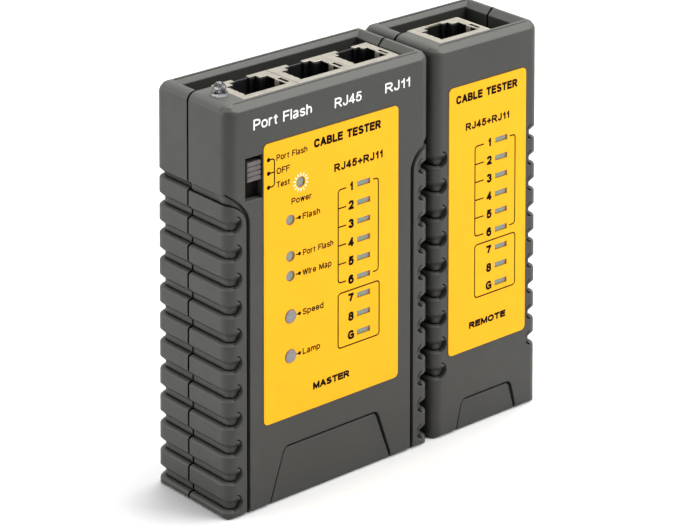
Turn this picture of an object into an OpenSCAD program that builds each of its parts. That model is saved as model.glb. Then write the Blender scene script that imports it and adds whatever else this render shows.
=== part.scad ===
// Twin-unit network cable tester: a wide master unit and a narrow remote unit
// that docks on its right. Both stand on their bottom faces, sockets upwards.
// Front faces -Y, sockets face +Z, origin at the bottom centre of the pair.

/* [Cases] */
// Height of both cases, without the lamp
case_h = 97; // [96:0.5:99]
// Depth of both cases, front to back
case_d = 28; // [27.9:0.1:28.4]
// Width of the master case
master_w = 60.8; // [60.6:0.1:61.4]
// Width of the remote case
remote_w = 34.3; // [34.1:0.1:34.9]
// Gap between the docked cases
unit_gap = 1.1; // [1:0.1:1.6]
// Radius of the upright corners
corner_r = 2.8; // [2.6:0.1:3]
// Parting plane between front and rear shells, from the front face
seam_y = 14.7; // [14.6:0.1:14.8]

/* [Grip ribs] */
// Spacing of the grip grooves
rib_pitch = 6.575; // [6.4:0.025:6.6]
// Depth of the grip grooves
groove_d = 1.3; // [1:0.05:1.4]
// Upper lip of the first narrow groove
groove_top = 70.875; // [70:0.125:71.5]
// Narrow grooves on each side of the master
master_grooves = 11; // [8:1:11]
// Narrow grooves on each side of the remote
remote_grooves = 9; // [6:1:10]

/* [Front labels] */
// Bottom edge of the labels
label_z0 = 19.6; // [19:0.1:20.5]
// Top edge of the labels
label_z1 = 86.2; // [85.5:0.1:86.6]
// Thickness of the labels
label_t = 0.35; // [0.25:0.05:0.45]
// Height of the first line indicator
led_z = 70.1; // [69.8:0.1:70.4]
// Spacing of the line indicators
led_pitch = 4.5; // [4.45:0.05:4.55]
// Number of line indicators on each unit
led_count = 9; // [8:1:9]

/* [Switches] */
// Height of the mode knob
knob_h = 4.6; // [4.2:0.1:4.8]
// Radius of the two push buttons
button_r = 1.55; // [1.4:0.05:1.6]

/* [Sockets] */
// Width of an eight-way socket shield
jack8_w = 15.95; // [15.8:0.05:16]
// Width of the six-way socket shield
jack6_w = 14.25; // [13.8:0.05:14.3]
// Height of the socket shields
jack_h = 18; // [16:0.5:18]

/* [Hidden] */
$fn = 48;

// Colours shared by several pieces
front_grey = [0.335, 0.335, 0.325];
rear_grey = [0.345, 0.345, 0.335];
label_yellow = [0.99, 0.79, 0.19];
board_green = [0.05, 0.22, 0.13];
shield_metal = [0.8, 0.79, 0.74];
housing_black = [0.07, 0.07, 0.08];
contact_gold = [0.85, 0.68, 0.3];
led_grey = [0.62, 0.66, 0.6];
switch_black = [0.12, 0.12, 0.12];
button_grey = [0.6, 0.6, 0.58];

// Within a unit, x runs from its left side, y from its front face and z from its bottom
total_w = master_w + unit_gap + remote_w;
remote_x = master_w + unit_gap;
wall_side = 2.6;
wall_face = 2.2;           // front and rear walls
floor_t = 2;
cavity_h = 88.5;
collar = 3.9;              // inner edge of the socket well from the case side
well_y0 = 2.9;
well_y1 = 23;
well_z = 88;               // lower end of the socket well cut

board_y = 15.45;
board_t = 1.6;
board_back = board_y + board_t;
board_top = 88.5;
pin_hole_x = [3.2, 11];    // holes under each socket, from its left side

// Sockets: left sides, front and bottom
flash_jack_x = 6.95;
network_jack_x = 23.1;
phone_jack_x = 39.12;
remote_jack_x = 4.4;
jack_y = 2.95;
jack_z = case_h - jack_h;

// Labels and indicators
master_label_x = [10.25, 50.5];
remote_label_x = [4.6, 29.7];
label_r = 1.2;
label_proud = 0.2;
master_led_x = 39.85;
remote_led_x = 21.55;
mode_led_pos = [[21, 74.9], [17.96, 66.6], [17.96, 57.95], [17.96, 53.25]]; // [x, z]
lamp_pos = [4.5, 8.8];     // [x, y]

// Switches, as [x, z]
speed_pos = [18, 43.65];
lamp_button_pos = [18, 34.15];
knob_z = 80.6;
button_proud = 0.45;       // the push buttons stand this far out of the face

// Screw places, as [x, z]
boss_dx = 20.7;            // from the master's middle to its screws
master_boss = [for (z = [60, 34.6], side = [-1, 1]) [master_w / 2 + side * boss_dx, z]];
remote_boss = [[27.9, 72], [remote_w / 2, 14.5]];

// Docking rail, a T section; y of its web and of its wider head
rail_z0 = 6;
rail_z1 = 36;
web_y = 18.6;
web_d = 3.4;
head_y = 17.4;
head_d = 5.8;
rail_fit = 0.2;            // clearance of the slot around the rail

module in_master() translate([-total_w / 2, (button_proud - case_d) / 2, 0]) children();
module in_remote()
  translate([-total_w / 2 + remote_x, (button_proud - case_d) / 2, 0]) children();

// ---- helpers ----
module rounded_rect(left, low, right, high, radius) {
  translate([left + radius, low]) square([right - left - 2 * radius, high - low]);
  translate([left, low + radius]) square([right - left, high - low - 2 * radius]);
  for (x = [left + radius, right - radius], y = [low + radius, high - radius])
    translate([x, y]) circle(radius);
}
// Draws a shape given in X and Z and runs it along Y from start to end
module along_y(start, end)
  translate([0, end, 0]) rotate([90, 0, 0]) linear_extrude(end - start) children();
// Draws a shape given in Y and Z and runs it along X from start to end
module along_x(start, end)
  translate([start, 0, 0]) rotate([90, 0, 90]) linear_extrude(end - start) children();
// Puts children at pos = [x, z], with their Z axis pointing to the rear
module rearward(pos, y = 0) translate([pos[0], y, pos[1]]) rotate([-90, 0, 0]) children();
// Cuboid centred in X and Z, running back from y
module centred_box(width, height, y, depth)
  translate([-width / 2, y, -height / 2]) cube([width, depth, height]);
module both_sides(width) {
  children();
  translate([width, 0, 0]) mirror([1, 0, 0]) children();
}

// ---- case outline ----
// Seen from the side, as [y, z]
module side_profile() polygon([
  [0.9, 0], [case_d - 0.9, 0], [case_d, 0.9],
  [case_d, case_h - 2.7], [case_d - 1.1, case_h - 0.9], [case_d - 2.9, case_h],
  [1.6, case_h], [0, case_h - 1.6], [0, 0.9]]);
// Seen from the front, with rounded top and bottom corners
module front_profile(width) {
  top_r = 2.2;
  low_r = 0.9;
  translate([0, low_r]) square([width, case_h - 3.1]);
  translate([low_r, 0]) square([width - 2 * low_r, 2]);
  translate([top_r, 2]) square([width - 2 * top_r, case_h - 2]);
  for (x = [top_r, width - top_r]) translate([x, case_h - top_r]) circle(top_r);
  for (x = [low_r, width - low_r]) translate([x, low_r]) circle(low_r);
}
// Upright corner turned about its own axis; its top edge rolls inwards from roll below the top
module corner_post(roll) rotate_extrude() polygon([
  [0, 0], [corner_r, 0], [corner_r, case_h - roll],
  [corner_r - 0.25, case_h - roll + 0.75], [corner_r - 0.95, case_h - roll + 1.6],
  [corner_r - 1.75, case_h], [0, case_h]]);
module block(width) intersection() {
  union() {
    translate([corner_r, 0, 0]) cube([width - 2 * corner_r, case_d, case_h]);
    translate([0, corner_r, 0]) cube([width, case_d - 2 * corner_r, case_h]);
    for (x = [corner_r, width - corner_r]) {
      translate([x, corner_r, 0]) corner_post(2);
      translate([x, case_d - corner_r, 0]) corner_post(2.5);
    }
  }
  along_y(-1, case_d + 1) front_profile(width);
  along_x(-1, width + 1) side_profile();
}

// ---- grip grooves ----
pocket_r = 2.1;            // round front and rear ends of the grooves
pocket_drop = 1.05;        // pocket centre below the groove's upper edge
sweep_z = groove_top + 5.35; // upper edge of the master's highest groove

// Section of one groove below its upper edge, as [depth, z]: a slope that faces down,
// a floor, a narrow crevice and a raised lip with a soft outer edge
function groove_section(top, floor_h) = let (low = top - floor_h) [
  [1.5, top + 0.42], [0.4, top + 0.42], [-groove_d, top - 1.35],
  [-groove_d, low - 1.35], [-groove_d - 0.45, low - 1.68],
  [-groove_d - 0.35, low - 1.88], [-1.12, low - 1.62], [-0.75, low - 1.66],
  [-0.35, low - 1.78], [-0.08, low - 2], [0, low - 2.28],
  [0.4, low - 2.38], [1.5, low - 2.38]];
// Grooves under the upper edges listed in tops: along the left side, round both corners
// and a short way onto the front and rear faces
module groove_run(tops, floor_h) for (top = tops) {
  section = groove_section(top, floor_h);
  face_run = 1.6;
  translate([0, case_d - corner_r, 0]) rotate([90, 0, 0])
    linear_extrude(case_d - 2 * corner_r) mirror([1, 0]) polygon(section);
  // [y of the corner axis, turn]
  for (corner = [[corner_r, 180], [case_d - corner_r, 90]])
    translate([corner_r, corner[0], 0]) rotate([0, 0, corner[1]])
      rotate_extrude(angle = 90) translate([corner_r, 0]) polygon(section);
  translate([corner_r, 0, 0]) rotate([90, 0, 90])
    linear_extrude(face_run) mirror([1, 0]) polygon(section);
  translate([corner_r, case_d, 0]) rotate([90, 0, 90])
    linear_extrude(face_run) polygon(section);
}
function groove_edges(count) =
  [for (k = [0 : count - 1]) groove_top - 0.45 - k * rib_pitch];
// The grooves wrap the corners and end in round pockets with a slot around their front rims
module grooves_left(count) {
  intersection() {
    groove_run(groove_edges(count), 1.18);
    along_y(-3, case_d + 3) {
      translate([-3, groove_top - count * rib_pitch]) square([5, count * rib_pitch + 2]);
      for (top = groove_edges(count)) translate([pocket_r, top - pocket_drop]) circle(pocket_r);
    }
  }
  for (top = groove_edges(count))
    along_y(-1, 1.65) translate([pocket_r, top - pocket_drop]) intersection() {
      difference() {
        circle(pocket_r);
        circle(1.82);
      }
      polygon([[0, 0], [0, -3], [3, -3], [3, 3], [0.9, 3]]);
    }
}

// Highest groove of the master: at the front it sweeps off the side and narrows into a slot
// that runs down the face, at the rear it ends in a pocket like the others
function bezier(ctrl, t) =
  ctrl[0] * pow(1 - t, 3) + ctrl[1] * 3 * t * pow(1 - t, 2)
  + ctrl[2] * 3 * t * t * (1 - t) + ctrl[3] * pow(t, 3);
function curve(ctrl, steps, extent) =
  [for (k = [0 : steps]) bezier(ctrl, extent * k / steps)];
function reversed(points) = [for (k = [len(points) - 1 : -1 : 0]) points[k]];
// Left front rind of the master case
module rind(depth) difference() {
  translate([-2, -2, -1]) cube([9, seam_y + 2, 81]);
  translate([0, 0, -2]) linear_extrude(92)
    rounded_rect(depth, depth, master_w, case_d - depth, corner_r - depth);
}
// Cut between two curves given by [x, z] control points; tail joins their ends
module sweep_band(depth, upper, lower, steps = 8, extent = 1, tail = []) intersection() {
  rind(depth);
  along_y(-3, seam_y + 1) polygon(concat(
    curve(upper, steps, extent), tail, reversed(curve(lower, steps, extent))));
}
module sweep_left() {
  intersection() {
    groove_run([sweep_z], 0.35);
    union() {
      translate([0, 0, sweep_z - 5]) linear_extrude(8) polygon([
        [-3, -3], [0.5, -3], [0.5, 2.5], [0.9, 6], [0.9, seam_y],
        [0.5, case_d + 3], [-3, case_d + 3]]);
      along_y(seam_y, case_d + 3) {
        translate([-3, sweep_z - 5]) square([5, 8]);
        translate([2.1, sweep_z - 0.9]) circle(1.8);
      }
    }
  }
  // floor between the two lines
  sweep_band(0.55,
    upper = [[0.3, 76.6], [2.6, 74.8], [5.9, 72.2], [5.9, 68.7]],
    lower = [[0.3, 73.8], [2.6, 73.5], [5.4, 71.5], [5.4, 68.5]]);
  // upper line, widening into the slot
  sweep_band(groove_d,
    upper = [[0.3, 76.75], [2.7, 74.95], [6.4, 72.3], [6.4, 68.8]],
    lower = [[0.3, 76.5], [2.55, 74.65], [5.35, 72], [5.3, 68.6]],
    tail = [[6.35, -1], [5.4, -1]]);
  // lower line
  sweep_band(1.6,
    upper = [[0.3, 74.3], [2.7, 73.95], [5.75, 71.75], [5.75, 68.5]],
    lower = [[0.3, 73.8], [2.55, 73.5], [5.45, 71.5], [5.45, 68.5]],
    steps = 7, extent = 0.8);
}

// ---- thumb recess low on the front face ----
// Outline as [x, z], drawn in by inset
function recess_outline(mid, half_top, half_low, top, inset) = let (
  // right half, from the bottom up
  right = [
    [half_low + 0.45 - inset, -1],
    [half_top + 1.5 - inset, top - 1.3 - 0.3 * inset],
    [half_top + 0.9 - 0.7 * inset, top - 0.4 - 0.8 * inset],
    [half_top - 0.3 * inset, top - 1.2 * inset]]
) concat(
  [for (point = right) [mid - point[0], point[1]]],
  [for (point = reversed(right)) [mid + point[0], point[1]]]);
// Everything in front of a face that leans back from y_low at the bottom to y_top at top
module leaning_cut(y_low, y_top, top) along_x(0, master_w)
  polygon([[-2, -1], [y_low, -1], [y_low, 0], [y_top, top], [y_top, top + 1], [-2, top + 1]]);
module thumb_recess(mid, half_top, half_low, top) {
  intersection() {
    along_y(-1, 3) polygon(recess_outline(mid, half_top, half_low, top, 0));
    leaning_cut(0.25, 0.45, top);
  }
  // shut line around its rim
  intersection() {
    along_y(-1, 3) difference() {
      polygon(recess_outline(mid, half_top, half_low, top, 0));
      polygon(recess_outline(mid, half_top, half_low, top, 0.62));
    }
    leaning_cut(1.2, 1.65, top);
  }
}

// ---- solid cases ----
// Fine shut lines along the front and rear rims of the socket well
module rim_lines(width) for (y = [1.6, 24.1])
  translate([collar - 0.9, y, case_h - 0.42]) cube([width - 2 * collar + 1.8, 0.34, 1.5]);
module case_master() difference() {
  block(master_w);
  rim_lines(master_w);
  both_sides(master_w) union() {
    grooves_left(master_grooves);
    sweep_left();
  }
  thumb_recess(mid = 30.35, half_top = 13, half_low = 18.5, top = 13);
}
module case_remote() difference() {
  block(remote_w);
  rim_lines(remote_w);
  both_sides(remote_w) grooves_left(remote_grooves);
  thumb_recess(mid = remote_w / 2, half_top = 6.9, half_low = 9.8, top = 7.8);
}

// ---- hollowing and splitting ----
// Everything in front of, or behind, the parting plane
module front_half(width) translate([-2, -2, -2]) cube([width + 6, seam_y + 2, case_h + 8]);
module rear_half(width)
  translate([-2, seam_y, -2]) cube([width + 6, case_d - seam_y + 2, case_h + 8]);
// Open joint line left around the rear shell's rim
module seam_gap(width) along_y(seam_y - 1, seam_y + 0.55) difference() {
  translate([-3, -3]) square([width + 6, case_h + 6]);
  translate([2.2, 0.9]) square([width - 4.4, case_h - 1.8]);
}
module cavity(width) translate([0, 0, floor_t]) linear_extrude(cavity_h)
  rounded_rect(wall_side, wall_face, width - wall_side, case_d - wall_face, 2.4);
// Socket well with a sloping lead-in at its sides and rear
module well(width) {
  rim = 2.3;               // outer edge of the lead-in from the case side
  slope_top = case_h + 0.1;
  translate([collar, well_y0, well_z])
    cube([width - 2 * collar, well_y1 - well_y0, case_h]);
  intersection() {
    along_y(well_y0, 26) polygon([
      [collar, 95.5], [width - collar, 95.5], [width - rim, slope_top],
      [width - rim, 99], [rim, 99], [rim, slope_top]]);
    along_x(0, width) polygon([
      [well_y0, 95], [well_y1, 95], [well_y1, 95.8],
      [24.3, slope_top], [24.3, 99], [well_y0, 99]]);
  }
}

// ---- case screws ----
module screw_boss_front(pos)
  rearward(pos, wall_face - 0.5) cylinder(r = 3, h = seam_y - wall_face + 0.5);
module screw_boss_rear(pos)
  rearward(pos, seam_y) cylinder(r = 3.2, h = case_d - wall_face + 0.5 - seam_y);
module screw_pilot(pos) rearward(pos, 5) cylinder(r = 1.3, h = 20);
module screw_hole_rear(pos) rearward(pos) {
  cylinder(r = 1.6, h = 40);
  translate([0, 0, case_d - 3]) cylinder(r = 2.85, h = 6);
}
module case_screw(pos) rearward(pos) difference() {
  union() {
    translate([0, 0, 6.5]) cylinder(r = 1.25, h = 19);
    translate([0, 0, case_d - 2.95]) cylinder(r = 2.6, h = 1.9);
  }
  // cross recess
  for (turn = [0, 90])
    rotate([0, 0, turn]) translate([-1.6, -0.3, case_d - 2.1]) cube([3.2, 0.6, 2]);
}
module master_case_screws() color("silver") in_master() for (pos = master_boss) case_screw(pos);
module remote_case_screws() color("silver") in_remote() for (pos = remote_boss) case_screw(pos);

// ---- labels and their openings ----
module at_line_leds(x)
  for (k = [0 : led_count - 1]) translate([x, 0, led_z - k * led_pitch]) children();
// span = [left, right]; grow widens the outline all round
module label_plate(span, start, grow = 0) along_y(start, label_t - label_proud)
  rounded_rect(span[0] - grow, label_z0 - grow, span[1] + grow, label_z1 + grow, label_r);
module led_windows(x) at_line_leds(x) centred_box(3.96, 1.36, y = -1, depth = 3);
// Round holes for the mode indicators and the push buttons
module round_holes(led_r, clearance, depth) {
  for (pos = mode_led_pos) rearward(pos, -1) cylinder(r = led_r, h = depth);
  for (pos = [speed_pos, lamp_button_pos])
    rearward(pos, -1) cylinder(r = button_r + clearance, h = depth);
}
module master_label() color(label_yellow) in_master() difference() {
  label_plate(master_label_x, -label_proud);
  led_windows(master_led_x);
  round_holes(led_r = 1.27, clearance = 0.06, depth = 3);
}
module remote_label() color(label_yellow) in_remote() difference() {
  label_plate(remote_label_x, -label_proud);
  led_windows(remote_led_x);
}

// ---- shells ----
// Front shell with screw posts, label seat and indicator slots; the child is the solid case.
// The well keeps its wall left of the first socket.
module front_shell(width, bosses, first_jack_x, label_x, led_x) difference() {
  union() {
    difference() {
      intersection() {
        children();
        front_half(width);
      }
      intersection() {
        cavity(width);
        front_half(width);
      }
      difference() {
        well(width);
        translate([0, 0, well_z]) cube([first_jack_x - 0.05, case_d, 12]);
      }
    }
    intersection() {
      for (pos = bosses) screw_boss_front(pos);
      block(width);
    }
  }
  for (pos = bosses) screw_pilot(pos);
  label_plate(label_x, -1, grow = 0.05);
  at_line_leds(led_x) centred_box(5.1, 2.1, y = -1, depth = 6);
}
// Rear shell with screw posts but no holes; the child is the solid case
module rear_shell_blank(width, bosses) {
  difference() {
    intersection() {
      children();
      rear_half(width);
    }
    intersection() {
      cavity(width);
      rear_half(width);
    }
    well(width);
    seam_gap(width);
  }
  intersection() {
    for (pos = bosses) screw_boss_rear(pos);
    block(width);
  }
}

module master_front_shell() color(front_grey) in_master() difference() {
  front_shell(master_w, master_boss, flash_jack_x, master_label_x, master_led_x) case_master();
  // hollow below the lamp
  translate([collar, well_y0, well_z]) cube([4, 20, 6.8]);
  round_holes(led_r = 1.6, clearance = 0.05, depth = 6);
  // knob slot
  translate([5, -1, 73.95]) cube([5.1, 6, 10.25]);
  // lamp hole
  translate([lamp_pos[0], lamp_pos[1], 90]) cylinder(r = 1.7, h = 12);
}
module remote_front_shell() color(front_grey) in_remote()
  front_shell(remote_w, remote_boss, remote_jack_x, remote_label_x, remote_led_x) case_remote();

door_x0 = 6.6;
door_x1 = master_w - door_x0;
module master_rear_shell() color(rear_grey) in_master() difference() {
  union() {
    rear_shell_blank(master_w, master_boss) case_master();
    // shelf over the battery bay
    translate([wall_side - 0.5, seam_y + 0.2, 29.4])
      cube([master_w - 2 * wall_side + 1, case_d - wall_face - seam_y + 0.3, 1.1]);
    // docking rail on the right side
    translate([master_w - 2.1, web_y, rail_z0])
      cube([2.1 + unit_gap + 0.9, web_d, rail_z1 - rail_z0]);
    translate([master_w + unit_gap + 0.75, head_y, rail_z0])
      cube([0.85, head_d, rail_z1 - rail_z0]);
  }
  for (pos = master_boss) screw_hole_rear(pos);
  // opening for the battery door, with a slot for its tongues
  translate([door_x0 - 0.15, 25.2, -1]) cube([door_x1 - door_x0 + 0.3, 4, 32]);
  translate([door_x0 - 1.3, 25.1, -1]) cube([door_x1 - door_x0 + 2.6, 1.3, 32]);
}
module remote_rear_shell() color(rear_grey) in_remote() difference() {
  slot_h = rail_z1 + rail_fit + 1;
  union() {
    rear_shell_blank(remote_w, remote_boss) case_remote();
    // thickened wall behind the docking slot
    translate([wall_side - 0.5, 16.6, 1]) cube([1.6, 7.4, 36.5]);
  }
  for (pos = remote_boss) screw_hole_rear(pos);
  // docking slot, open at the bottom
  translate([-1, web_y - rail_fit, -1]) cube([3, web_d + 2 * rail_fit, slot_h]);
  translate([0.6, head_y - rail_fit, -1]) cube([1.2, head_d + 2 * rail_fit, slot_h]);
}
module battery_door() color(rear_grey) in_master() difference() {
  union() {
    intersection() {
      translate([door_x0, 26.1, 0]) cube([door_x1 - door_x0, 3, 30.8]);
      block(master_w);
    }
    // tongues along both sides
    for (x = [door_x0, door_x1 - 1.6]) translate([x, 25.3, 0.9]) cube([1.6, 1, 29.7]);
    for (x = [door_x0 - 1.1, door_x1 - 0.1])
      translate([x, 25.3, 0.9]) cube([1.2, 0.95, 29.7]);
  }
  // five grooves that shorten downwards
  for (k = [0 : 4])
    translate([master_w / 2 - 8 + k * 0.8, case_d - 0.5, 25.5 - k * 1.9])
      cube([16 - k * 1.6, 2, 0.9]);
}

// ---- circuit boards ----
module circuit_board(width, inset, bottom, bosses, jacks) difference() {
  translate([inset, board_y, bottom]) cube([width - 2 * inset, board_t, board_top - bottom]);
  for (pos = bosses) rearward(pos) cylinder(r = 3.4, h = 30);
  for (x = jacks, dx = pin_hole_x) rearward([x + dx, 84]) cylinder(r = 0.8, h = 30);
}
module master_circuit_board() color(board_green) in_master()
  circuit_board(master_w, 4.1, 31.5, master_boss, [flash_jack_x, network_jack_x, phone_jack_x]);
module remote_circuit_board() color(board_green) in_remote()
  circuit_board(remote_w, 4.2, 20, remote_boss, [remote_jack_x]);

// The parts below stand on the rear side of the boards
module controller_chip() color([0.08, 0.08, 0.09]) in_master()
  translate([24, board_back, 52]) {
    body_w = 7.6;
    leg_l = 1.2;
    leg_pitch = 1.27;
    cube([body_w, 2.3, 17.8]);
    for (k = [0 : 13], x = [-leg_l, body_w])
      translate([x, 0, 0.65 + k * leg_pitch]) cube([leg_l, 0.3, 0.42]);
  }
module crystal() color("silver") in_master() translate([34.5, board_back, 44]) {
  can_r = 2.3;
  can_l = 6.3;             // between the axes of the round ends
  can_h = 3.3;
  translate([0, 0.2, 0]) union() {
    rearward([can_r, can_r]) cylinder(r = can_r, h = can_h);
    translate([can_r, 0, 0]) cube([can_l, can_h, 2 * can_r]);
    rearward([can_r + can_l, can_r]) cylinder(r = can_r, h = can_h);
  }
  translate([-0.3, 0, -0.3]) cube([11.5, 0.4, 5.2]);
}
module board_capacitors() color([0.1, 0.12, 0.3]) in_master()
  for (z = [40, 50]) rearward([16, z], board_back) {
    cylinder(r = 2.5, h = 6.4);
    translate([0, 0, 6.4]) cylinder(r = 2.2, h = 0.3);
  }
module remote_resistors() color([0.15, 0.15, 0.17]) in_remote()
  for (k = [0 : 7]) translate([12, board_back, 34 + k * 4.5]) cube([3.2, 0.6, 1.6]);

// ---- sockets ----
// A shielded socket opens upwards, with a stepped keyway at the rear of its mouth.
// [shield width, mouth width, keyway step widths, contacts, width of the slot by the mouth]
eight_way = [jack8_w, 12.1, [7.9, 4.5], 8, 1.05];
six_way = [jack6_w, 10, [7.4, 4.8], 6, 0.85];
jack_d = 12.45;
sheet = 0.3;               // shield thickness
lip_t = 0.24;

module mouth(jack, bottom, height, back) translate([jack[0] / 2, 0, bottom]) {
  // [width, front, rear]
  for (part = [[jack[1], 1.95, 9.4], [jack[2][0], 9.3, 11.1], [jack[2][1], 11, back]])
    translate([-part[0] / 2, part[1], 0]) cube([part[0], part[2] - part[1], height]);
}
// Strip folded down into the mouth; side is -1 for left, 1 for right
module folded_strip(jack, side, y, drop) {
  length = 1.7;
  edge = jack[1] / 2;
  translate([jack[0] / 2 + side * (edge - lip_t / 2) - lip_t / 2, y, jack_h - drop])
    cube([lip_t, length, drop - sheet + 0.01]);
  translate([jack[0] / 2 + side * (edge - 0.01) - 0.25, y, jack_h - sheet])
    cube([0.5, length, sheet]);
}
module jack_shield(jack) {
  difference() {
    cube([jack[0], jack_d, jack_h]);
    translate([sheet, sheet, -1])
      cube([jack[0] - 2 * sheet, jack_d - 2 * sheet, jack_h + 1 - sheet]);
    mouth(jack, jack_h - 1, 3, back = 12.8);
    translate([jack[0] / 2 + jack[1] / 2 + 0.42, 2.7, jack_h - 1]) cube([jack[4], 3.6, 3]);
  }
  // two lips at the left side of the mouth, and a spring tongue at both sides
  for (y = [2.5, 6.7]) folded_strip(jack, -1, y, drop = 2.2);
  for (side = [-1, 1]) folded_strip(jack, side, 4.6, drop = 6.2);
}
module jack_housing(jack) difference() {
  inset = sheet + 0.05;
  translate([inset, inset, 0.2])
    cube([jack[0] - 2 * inset, jack_d - 2 * inset, jack_h - sheet - 0.25]);
  mouth(jack, 4, jack_h, back = 11.75);
  // room for the tongues
  for (side = [-1, 1])
    translate([jack[0] / 2 + side * (jack[1] / 2 + 0.45) - 0.8, 2, jack_h - 7])
      cube([1.6, 6.8, 9]);
}
module jack_contacts(jack) {
  count = jack[3];
  pitch = 1.02;
  wire = 0.4;
  for (k = [0 : count - 1])
    translate([jack[0] / 2 + (k - (count - 1) / 2) * pitch - wire / 2, 0, 0])
      along_x(0, wire) polygon([
        [1.96, 9.6], [1.96, 9.2], [4.9, 4.6], [4.9, 4.05],
        [5.3, 4.05], [5.3, 4.8], [2.3, 9.6]]);
}
module at_jack(x) translate([x, jack_y, jack_z]) children();
module flash_place() in_master() at_jack(flash_jack_x) children();
module network_place() in_master() at_jack(network_jack_x) children();
module phone_place() in_master() at_jack(phone_jack_x) children();
module remote_place() in_remote() at_jack(remote_jack_x) children();

module flash_jack_shield() color(shield_metal) flash_place() jack_shield(eight_way);
module flash_jack_housing() color(housing_black) flash_place() jack_housing(eight_way);
module flash_jack_contacts() color(contact_gold) flash_place() jack_contacts(eight_way);
module network_jack_shield() color(shield_metal) network_place() jack_shield(eight_way);
module network_jack_housing() color(housing_black) network_place() jack_housing(eight_way);
module network_jack_contacts() color(contact_gold) network_place() jack_contacts(eight_way);
module phone_jack_shield() color(shield_metal) phone_place() jack_shield(six_way);
module phone_jack_housing() color(housing_black) phone_place() jack_housing(six_way);
module phone_jack_contacts() color(contact_gold) phone_place() jack_contacts(six_way);
module remote_jack_shield() color(shield_metal) remote_place() jack_shield(eight_way);
module remote_jack_housing() color(housing_black) remote_place() jack_housing(eight_way);
module remote_jack_contacts() color(contact_gold) remote_place() jack_contacts(eight_way);
// Thin insulating wrap around the rear and right of the remote's socket
module remote_jack_insulator() color([0.55, 0.56, 0.6]) remote_place() difference() {
  translate([1, 0.4, 14.6]) cube([jack8_w + 0.1, jack_d + 0.35, 3]);
  translate([0, 0, 14]) cube([jack8_w + 0.75, jack_d + 0.5, 4]);
}

// ---- indicators ----
leg = 0.5;                 // thickness of the square legs
module lamp_led() color([0.9, 0.92, 0.95, 0.6]) in_master()
  translate([lamp_pos[0], lamp_pos[1], case_h]) {
    dome_r = 1.5;
    difference() {
      cylinder(r = 1.95, h = 0.9);
      translate([1.55, -3, -1]) cube([2, 6, 3]);
    }
    translate([0, 0, 0.5]) cylinder(r = dome_r, h = 1.2);
    translate([0, 0, 1.7]) sphere(dome_r);
    for (x = [-1.27, 0.77]) translate([x, -leg / 2, -7]) cube([leg, leg, 7.3]);
  }
module line_leds(x) at_line_leds(x) {
  centred_box(4.9, 1.9, y = 0.2, depth = 5);
  for (dx = [-1.5, 1]) translate([dx, 5, -leg / 2]) cube([leg, board_y - 5, leg]);
}
module master_line_leds() color(led_grey) in_master() line_leds(master_led_x);
module remote_line_leds() color(led_grey) in_remote() line_leds(remote_led_x);
// The legs of the highest mode indicator stop short of the board
module master_mode_leds() color(led_grey) in_master()
  for (pos = mode_led_pos) rearward(pos) {
    leg_y = 4.5;
    leg_l = pos == mode_led_pos[0] ? 8 : board_y - leg_y;
    translate([0, 0, 0.2]) cylinder(r = 1.5, h = 4.5);
    translate([0, 0, 3.6]) cylinder(r = 1.9, h = 1.1);
    for (dx = [-1.5, 1]) translate([dx, -leg / 2, leg_y]) cube([leg, leg, leg_l]);
  }

// ---- switches ----
module mode_switch_body() color([0.6, 0.6, 0.6]) in_master() difference() {
  translate([5.2, 9.7, 65.4]) cube([4.6, board_y - 9.7, 12.1]);
  translate([6.3, 9, 68.3]) cube([2.4, 4.5, 7.5]);
}
// Knob, the plate behind it and a stem into the switch; three grooves cross the knob
module mode_switch_knob() color([0.42, 0.41, 0.42]) in_master() difference() {
  knob_low = knob_z - knob_h / 2;
  union() {
    translate([5.85, 0.3, knob_low]) cube([3.95, 2.2, knob_h]);
    translate([5.3, 2.3, 71.6]) cube([5, 0.5, 12.2]);
    translate([6.6, 2.5, 72.3]) cube([1.8, 10.5, 3.2]);
  }
  for (k = [0 : 2]) translate([5, 0, knob_low + 0.95 + k * 1.18]) cube([6, 0.55, 0.3]);
}
module push_switch(pos) difference() {
  size = 6;
  front = 11.9;
  translate([pos[0] - size / 2, front, pos[1] - size / 2])
    cube([size, board_y - front, size]);
  rearward(pos, 11) cylinder(r = 1.05, h = 2.6);
}
module push_button(pos) rearward(pos) {
  translate([0, 0, -button_proud]) cylinder(r = button_r, h = 2.55 + button_proud);
  translate([0, 0, 2.45]) cylinder(r = 2.3, h = 0.8);
  translate([0, 0, 3]) cylinder(r = 1.5, h = 8.4);
  translate([0, 0, 11.3]) cylinder(r = 1, h = 1.5);
}
module speed_switch_body() color(switch_black) in_master() push_switch(speed_pos);
module speed_button() color(button_grey) in_master() push_button(speed_pos);
module lamp_switch_body() color(switch_black) in_master() push_switch(lamp_button_pos);
module lamp_button() color(button_grey) in_master() push_button(lamp_button_pos);

// ---- power ----
// The battery lies on its side with its terminals to the right
battery_at = [4.6, 7.4, 2.4];
battery_d = 17.5;
stud_z = 6.9;              // small terminal
socket_z = 19.6;           // large terminal
// Children point along +X on the axis of a terminal
module on_terminal(x, z) translate([x, battery_d / 2, z]) rotate([0, 90, 0]) children();

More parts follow.
